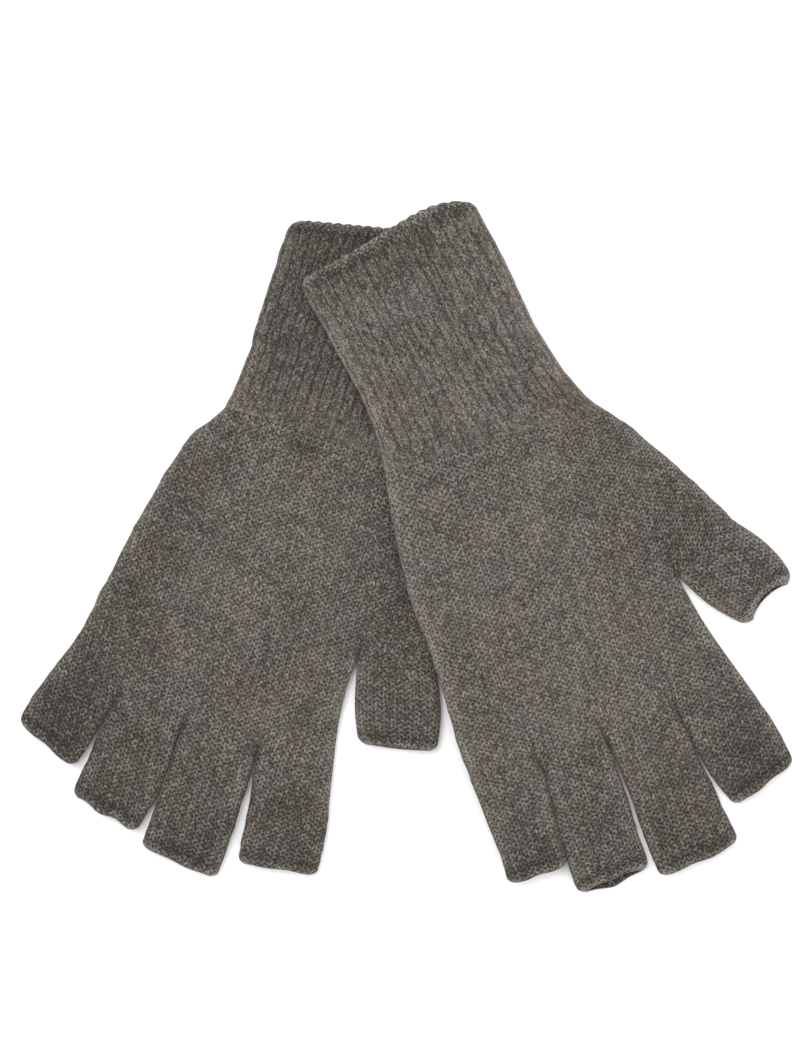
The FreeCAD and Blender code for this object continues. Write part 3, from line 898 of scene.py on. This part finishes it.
def yarn_material(name, lightness=1.0, rib_valleys=0.0, fuzz=1.0, stitch_depth=1.0):
    """Heathered yarn, worked in stitches that lie to the left and to the right by turns. A stitch's two
    legs are half a wale each: across and along run from 0 to 1 over a leg, and luck makes each leg
    lighter or darker at random."""
    kit = Nodes(name)
    stitches = kit.node("UVMap", {}, "UV", uv_map="stitches")
    wale, course = [kit.node("SeparateXYZ", {0: stitches}, number) for number in (0, 1)]
    place = kit.node("TexCoord", {}, "Object")
    elsewhere = kit.node("VectorMath", {0: place, 1: (0.31, 0.17, 0.53)}, operation="ADD")

    bend_across = kit.less(kit.noise(place, WANDER_SCALE), 0.5)
    bend_along = kit.less(kit.noise(elsewhere, WANDER_SCALE), 0.5)
    half_wales = kit.times(kit.plus(wale, kit.times(bend_across, 0.35)), 2.0)
    leg = kit.math("FLOOR", half_wales)
    across = kit.less(half_wales, leg)
    parity = kit.less(1.0, kit.times(kit.math("FLOORED_MODULO", leg, 2.0), 2.0))
    slant = kit.times(kit.times(parity, kit.less(across, 0.5)), 0.6)
    leaning = kit.plus(kit.plus(course, kit.times(bend_along, 0.6)), slant)
    step = kit.math("FLOOR", leaning)
    along = kit.less(leaning, step)

    luck = kit.chance(kit.vector(leg, step, 0.37))
    hump_across = kit.hump(across, 2.2)
    hump_along = kit.hump(along, 2.6)
    grain = kit.times(hump_across, hump_along)
    gaps = kit.times(kit.less(1.0, hump_across), kit.less(1.0, hump_along))
    gaps = kit.times(gaps, kit.plus(0.4, luck))
    lines = kit.less(kit.math("FRACT", kit.times(half_wales, 0.5)), 0.5)
    lines = kit.math("POWER", kit.times(kit.math("ABSOLUTE", lines), 2.0), 4.0)
    lines = kit.times(lines, kit.plus(0.5, luck))
    streaks = kit.noise(kit.vector(kit.times(half_wales, 1.7), leaning, parity), 2.0, 0.6)
    flecks = kit.noise(place, FLECK_SCALE, 0.65)
    fine = kit.noise(place, FIBRE_SCALE, 0.7)
    clouds = kit.noise(place, CLOUD_SCALE)

    # Painted shade: darker at the ends of each leg (hump_along), in the gaps between stitches and along the
    # wales' grooves (lines).
    value = kit.weighed([(luck, 0.5, 0.30), (streaks, 0.5, 0.95), (flecks, 0.5, 1.55), (fine, 0.5, 0.45),
                         (hump_along, 0.72, 0.19 * stitch_depth), (gaps, 0.08, -0.75 * stitch_depth),
                         (lines, 0.2, -0.11), (clouds, 0.5, 0.30)])
    # painted shade in the valleys between the ribs
    if rib_valleys:
        ribs = kit.math("ABSOLUTE", kit.math("COSINE", kit.times(wale, float(np.pi) / 2)))
        ribs = kit.less(0.12, kit.math("POWER", kit.less(1.0, ribs), 3.2))
        valley = kit.times(kit.times(ribs, kit.attribute("rib")), rib_valleys)
        value = kit.plus(value, kit.times(valley, kit.plus(0.5, luck)))
    # the shade attribute brings in the painted shade and painted highlights
    value = kit.less(kit.times(value, YARN_CONTRAST), kit.attribute("shade"))
    value = kit.plus(value, YARN_VALUE)
    colour = kit.ramp(value, [(0.12, YARN_DARK), (0.5, YARN_MIDDLE), (0.9, YARN_LIGHT)])
    brown = kit.times(kit.less(kit.noise(elsewhere, BROWN_SCALE), 0.46), 2.4)
    olive = kit.times(kit.less(kit.noise(place, OLIVE_SCALE), 0.48), 2.4)
    for tint, amount in ((TINT_BROWN, brown), (TINT_OLIVE, olive)):
        share = kit.math("MINIMUM", kit.math("MAXIMUM", amount, 0.0), TINT_LIMIT)
        tinted = kit.tint(colour, (*tint, 1.0), 1.0, "MULTIPLY")
        colour = kit.tint(colour, tinted, share)
    colour = kit.tint(colour, (lightness, lightness, lightness, 1.0), 1.0, "MULTIPLY")

    raised = kit.weighed([(grain, 0.0, 0.4), (streaks, 0.0, 0.8), (flecks, 0.0, 0.8), (fine, 0.0, 0.35)])
    normal = kit.node("Bump", {"Strength": 0.75, "Distance": 0.00035, "Height": raised}, "Normal")
    kit.settle({"Base Color": colour, "Normal": normal, "Roughness": kit.plus(kit.times(fine, 0.12), 0.84),
                "Specular IOR Level": 0.18, "Sheen Weight": 0.14 * fuzz, "Sheen Roughness": 0.35,
                "Sheen Tint": (0.80, 0.76, 0.70, 1.0)})
    return kit.material


# lightness paints a highlight on the cast-on welt and the bound edges, and shade on the gathering stitches
# deep in the forks
MATERIALS = {
    "plain_knit": yarn_material("plain_knit_yarn"),
    "rib_knit": yarn_material("rib_knit_yarn", rib_valleys=0.27, stitch_depth=0.3),
    "cast_on_welt": yarn_material("cast_on_yarn", lightness=1.08, rib_valleys=0.18, fuzz=1.5),
    "bound_edge": yarn_material("bound_edge_yarn", lightness=1.10, fuzz=1.5),
    "fork_stitches": yarn_material("fork_yarn", lightness=0.82),
}
EDGES = {  # each kind of edge: its name's ending, its rows, and how round its rim is
    "bound_edge": ("_edge", EDGE_ROWS, 0.55),
    "cast_on_welt": ("_welt", WELT_ROWS, 0.6),
}

# ---------------- pieces of a glove


def finish_piece(fabric, name, slot, node):
    piece = fabric.build(name, MATERIALS[slot])
    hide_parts(node)
    return piece


def make_hand(glove):
    """The palm, the back, the gusset and the base of the thumb as one shell. Returns the whole thumb's
    sheet and the row where the stall takes over."""
    fabric = Fabric()
    lower = hand_with_gusset(glove)
    upper = hand_above_fingers(glove)
    thumb = thumb_sheet(glove)
    hinge_row = int(round(glove.shape["thumb_hinge_share"] * (len(thumb.shift) - 1)))
    thumb_base = thumb.sliced(0, hinge_row + 1)
    for sheet in (lower, upper, thumb_base):
        add_layers(fabric, glove, sheet)
    add_rim(fabric, glove, lower, True)
    add_rim(fabric, glove, upper, False)
    add_rim(fabric, glove, thumb_base, False)
    name = glove.side + "_hand"
    piece = finish_piece(fabric, name + "_knit", "plain_knit", name)
    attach(piece, glove.side + "_glove")
    return thumb, hinge_row


def bound_off(sheet, edge_rows):
    """Thicken the last rows into the rolled chain of a bound-off edge."""
    rows = len(sheet.shift)
    depth = np.clip((np.arange(rows) - (rows - 1 - edge_rows)) / edge_rows, 0.0, 1.0)
    roll = np.sin(np.pi * np.clip(depth * 0.9, 0.0, 1.0))[:, None]
    sheet.height = sheet.height + ROLL_HEIGHT * roll * smooth(sheet.height / 1.5)


def make_tube(glove, name, sheet, slot, edge_slot):
    """A tube and, as a piece of its own, the worked edge at its far end."""
    ending, edge_rows, rounding = EDGES[edge_slot]
    bound_off(sheet, edge_rows)
    rows = len(sheet.shift)
    cut = rows - 1 - edge_rows
    parts = ((name, "_knit", slot, sheet.sliced(0, cut + 1), 6, 0.0),
             (name + ending, "_stitches", edge_slot, sheet.sliced(cut, rows), 2, rounding))
    pieces = []
    for node, kind, part_slot, part, inner_step, rim in parts:
        fabric = Fabric()
        add_layers(fabric, glove, part, inner_step)
        add_rim(fabric, glove, part, True)
        add_rim(fabric, glove, part, False, rim)
        pieces.append(finish_piece(fabric, node + kind, part_slot, node))
    return pieces


def make_finger(glove, number):
    sheet = finger_sheet(glove, number)
    name = "%s_%s" % (glove.side, FINGERS[number])
    middle = sheet.row_middle(0)[0]
    for piece in make_tube(glove, name, sheet, "plain_knit", "bound_edge"):
        glove.point(middle, PALM)
        glove.point(middle, PALM + FINGER_FOLD_LENGTH)
        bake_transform(piece)


def make_thumb(glove, thumb, hinge_row):
    """The thumb's stall, from the row where it folds to its end."""
    stall = thumb.sliced(hinge_row, len(thumb.shift))
    start = stall.row_middle(0)
    reach = stall.row_middle(-1) - start
    fold_end = start + reach / np.linalg.norm(reach) * THUMB_FOLD_LENGTH
    name = glove.side + "_thumb"
    for piece in make_tube(glove, name, stall, "plain_knit", "bound_edge"):
        glove.point(*start)
        glove.point(*fold_end)
        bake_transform(piece)


def make_cuff(glove):
    side = glove.side
    sheet = cuff_sheet(glove)
    rows = len(sheet.shift)
    near_end = smooth((np.arange(rows) - rows + 8) / 8.0)[:, None]
    sheet.station = sheet.station - SCALLOP * np.cos(np.pi * sheet.wale) * near_end
    start, end = [glove.point(0.0, station) for station in CUFF_FOLD]
    for piece in make_tube(glove, side + "_cuff", sheet, "rib_knit", "cast_on_welt"):
        if side == "left":
            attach(piece, "left_glove")
        else:
            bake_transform(piece)
            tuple(start)
            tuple(end)


YARN_RADIUS = 0.42
LOOP_SPACING = 0.9
LOOP_REACH = 2.1
LOOP_POINTS = 8


def make_join(glove, name, shift, station, heading):
    """Three gathering stitches that close a fork: short loops of yarn from the upper to the lower layer."""
    curve = bpy.data.curves.new(name, "CURVE")
    curve.dimensions = "3D"
    curve.bevel_depth = YARN_RADIUS * METRES
    curve.bevel_resolution = 2
    along = np.array([np.sin(heading), np.cos(heading)])
    beside = np.array([np.cos(heading), -np.sin(heading)])
    for number in (-1, 0, 1):
        loop = curve.splines.new("NURBS")
        loop.points.add(LOOP_POINTS - 1)
        for point, turn in zip(loop.points, np.linspace(0.0, 2.0 * np.pi, LOOP_POINTS + 1)):
            spot = (np.array([shift, station]) + beside * (number * LOOP_SPACING + 0.35 * np.sin(turn))
                    - along * (0.6 + 0.9 * np.cos(turn)))
            height = HAND_THICKNESS / 2 + (LOOP_REACH - 0.25 * abs(number)) * np.sin(turn) * 0.85
            point.co = (*glove.place(spot[0], spot[1], height), 1.0)
        loop.use_cyclic_u = True
        loop.order_u = 3
    outline = bpy.data.objects.new(name + "_outline", curve)
    bpy.context.collection.objects.link(outline)
    bpy.context.view_layer.update()
    mesh = bpy.data.meshes.new_from_object(outline)
    bpy.data.objects.remove(outline)
    mesh.name = name
    layer = mesh.uv_layers[0] if mesh.uv_layers else mesh.uv_layers.new()
    layer.name = "stitches"
    mesh.materials.clear()
    mesh.materials.append(MATERIALS["fork_stitches"])
    piece = bpy.data.objects.new(name + "_stitches", mesh)
    bpy.context.collection.objects.link(piece)
    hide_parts(name)
    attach(piece, glove.side + "_glove")


def make_joins(glove):
    shape = glove.shape
    stops = knuckle_stops(glove)
    for number in range(1, len(FINGERS)):
        name = "%s_%s_%s_join" % (glove.side, FINGERS[number - 1], FINGERS[number])
        make_join(glove, name, stops[number], PALM, 0.0)
    crotch = shape["gusset_line"][-1]
    make_join(glove, glove.side + "_thumb_index_join", crotch[0], crotch[1], 0.35)


def make_glove(side):
    glove = Glove(side)
    thumb, hinge_row = make_hand(glove)
    make_thumb(glove, thumb, hinge_row)
    for number in range(len(FINGERS)):
        make_finger(glove, number)
    make_cuff(glove)
    make_joins(glove)


# ---------------- floor, light and camera


def make_floor():
    bpy.ops.mesh.primitive_plane_add(size=6.0, location=(0.0, 0.0, -0.0004))
    floor = bpy.context.object
    floor.name = "floor"
    kit = Nodes("pale_floor")
    kit.settle({"Base Color": (0.96, 0.96, 0.96, 1.0), "Roughness": 0.9, "Specular IOR Level": 0.1})
    floor.data.materials.append(kit.material)


def add_light(name, place, size, power):
    light = bpy.data.lights.new(name, "AREA")
    light.size = size
    light.energy = power
    lamp = bpy.data.objects.new(name, light)
    bpy.context.collection.objects.link(lamp)
    lamp.location = place
    lamp.rotation_euler = (-Vector(place)).to_track_quat("-Z", "Y").to_euler()


def make_studio():
    add_light("key_light", (-0.35, 0.45, 1.35), 0.9, 17.0)
    add_light("fill_light", (0.8, -0.4, 1.1), 1.4, 9.5)
    world = bpy.data.worlds.new("studio")
    world.use_nodes = True
    background = world.node_tree.nodes["Background"]
    background.inputs["Color"].default_value = (1.0, 1.0, 1.0, 1.0)
    background.inputs["Strength"].default_value = 0.72
    bpy.context.scene.world = world


def keep_true_colours():
    """Show colours as they are, so that the pale floor stays white beside the dark yarn."""
    bpy.context.scene.view_settings.view_transform = "Standard"


def make_camera():
    """Straight above the pair, with the cuffs at the top of the picture."""
    camera = bpy.data.cameras.new("camera")
    camera.lens = 100.0
    camera.sensor_width = 36.0
    eye = bpy.data.objects.new("camera", camera)
    bpy.context.collection.objects.link(eye)
    eye.location = (-0.0011, 0.0068, 1.06)
    eye.rotation_euler = (0.0, 0.0, 0.0)
    bpy.context.scene.camera = eye


keep_true_colours()
make_camera()
make_floor()
make_studio()
for side in ("left", "right"):
    make_glove(side)
